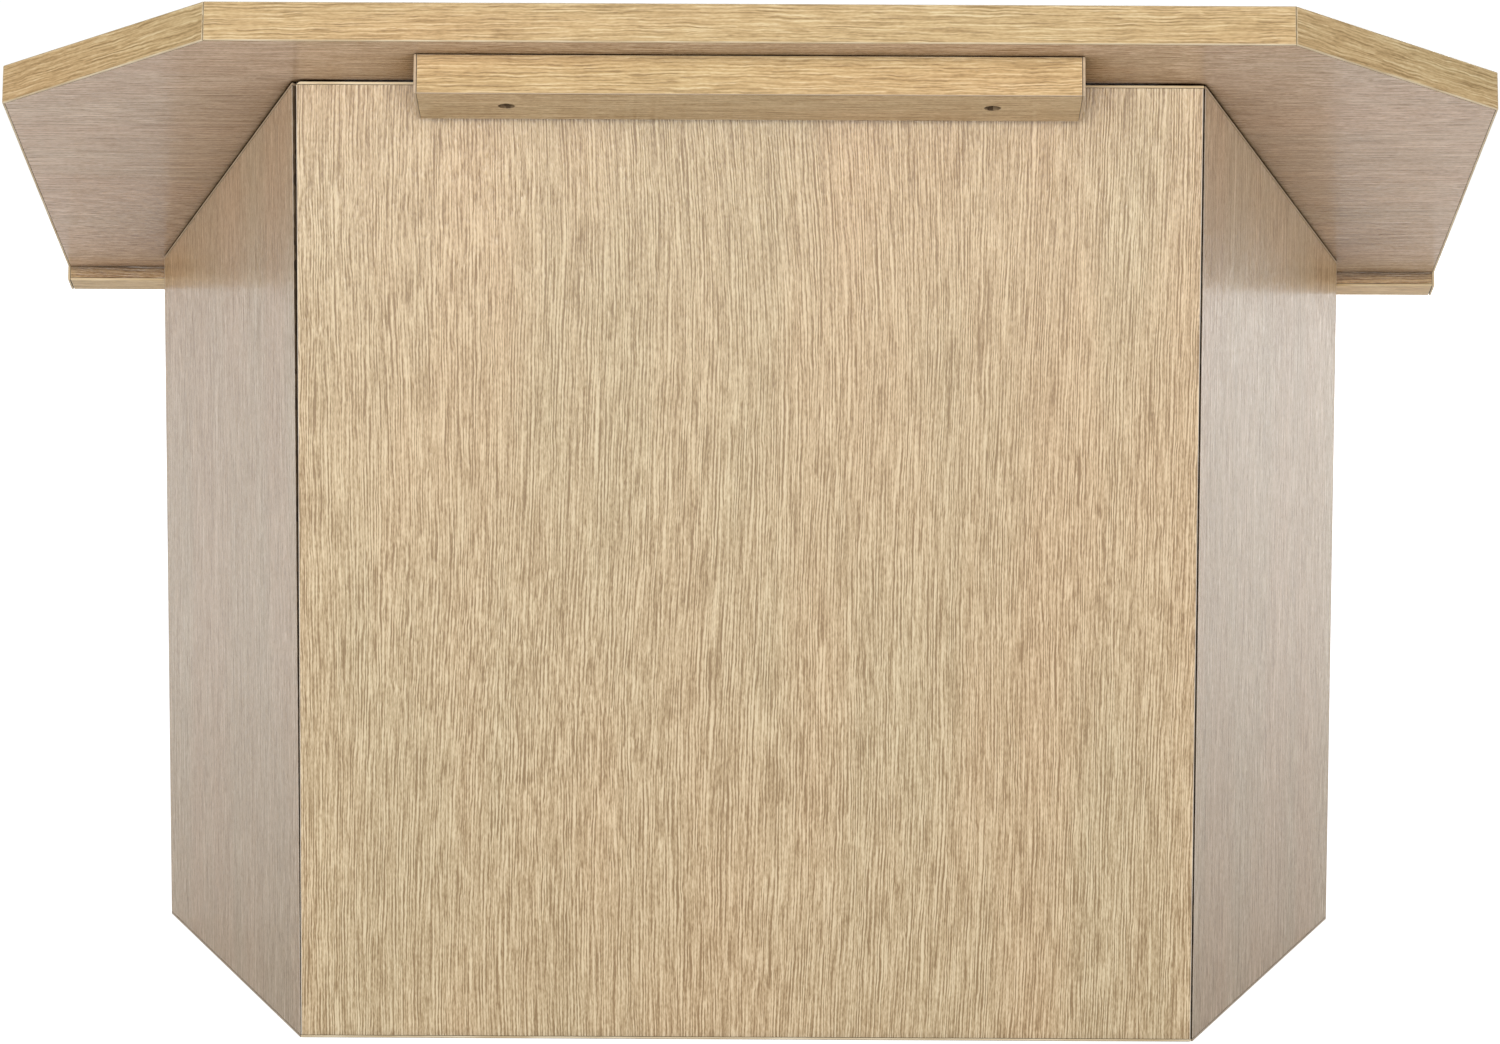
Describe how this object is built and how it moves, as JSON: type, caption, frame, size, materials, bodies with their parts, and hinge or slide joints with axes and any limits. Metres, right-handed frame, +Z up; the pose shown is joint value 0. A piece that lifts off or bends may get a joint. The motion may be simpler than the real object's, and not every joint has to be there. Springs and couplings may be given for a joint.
{
  "type": "table-top lectern",
  "caption": "Small wooden lectern for a table: splayed side wings, flat front, sloping lift-off top with cut corners and a book stop.",
  "frame": {"origin": "middle of the whole object's outline in plan, on the surface that it stands on", "axes": "+X across the top, to the right as the audience sees it; +Y towards the reader; +Z up"},
  "size_m": [0.61, 0.3496, 0.4272],
  "materials": {
    "board": "oak-pattern laminate, satin, straight grain",
    "band": "oak-pattern edge banding, a little yellower than the board, satin",
    "softwood": "planed softwood, unfinished",
    "screw": "blackened steel"
  },
  "bodies": {
    "base": {"front_panel": "board", "front_panel_bottom_band": "band", "front_panel_top_band": "band", "left_wing": "board", "left_wing_bottom_band": "band", "left_wing_top_band": "band", "left_wing_rear_band": "band", "right_wing": "board", "right_wing_bottom_band": "band", "right_wing_top_band": "band", "right_wing_rear_band": "band", "left_corner_batten": "softwood", "left_batten_panel_screw_1": "screw", "left_batten_panel_screw_2": "screw", "left_batten_wing_screw_1": "screw", "left_batten_wing_screw_2": "screw", "right_corner_batten": "softwood", "right_batten_panel_screw_1": "screw", "right_batten_panel_screw_2": "screw", "right_batten_wing_screw_1": "screw", "right_batten_wing_screw_2": "screw"},
    "top": {"top_board": "board", "top_front_band": "band", "top_left_corner_band": "band", "top_right_corner_band": "band", "top_left_side_band": "band", "top_right_side_band": "band", "front_cleat": "board", "front_cleat_face_band": "band", "front_cleat_left_band": "band", "front_cleat_right_band": "band", "front_cleat_left_screw": "screw", "front_cleat_right_screw": "screw", "book_stop": "board", "book_stop_lower_band": "band", "book_stop_upper_band": "band", "book_stop_left_band": "band", "book_stop_right_band": "band", "book_stop_screw_1": "screw", "book_stop_screw_2": "screw", "book_stop_screw_3": "screw", "book_stop_screw_4": "screw", "left_side_cleat": "softwood", "left_side_cleat_screw_1": "screw", "left_side_cleat_screw_2": "screw", "right_side_cleat": "softwood", "right_side_cleat_screw_1": "screw", "right_side_cleat_screw_2": "screw"}
  },
  "joints": [
    {"name": "top_lift", "type": "slide", "parent": "base", "child": "top", "axis": [0, 0, 1], "range_m": [0, 0.13]}
  ]
}
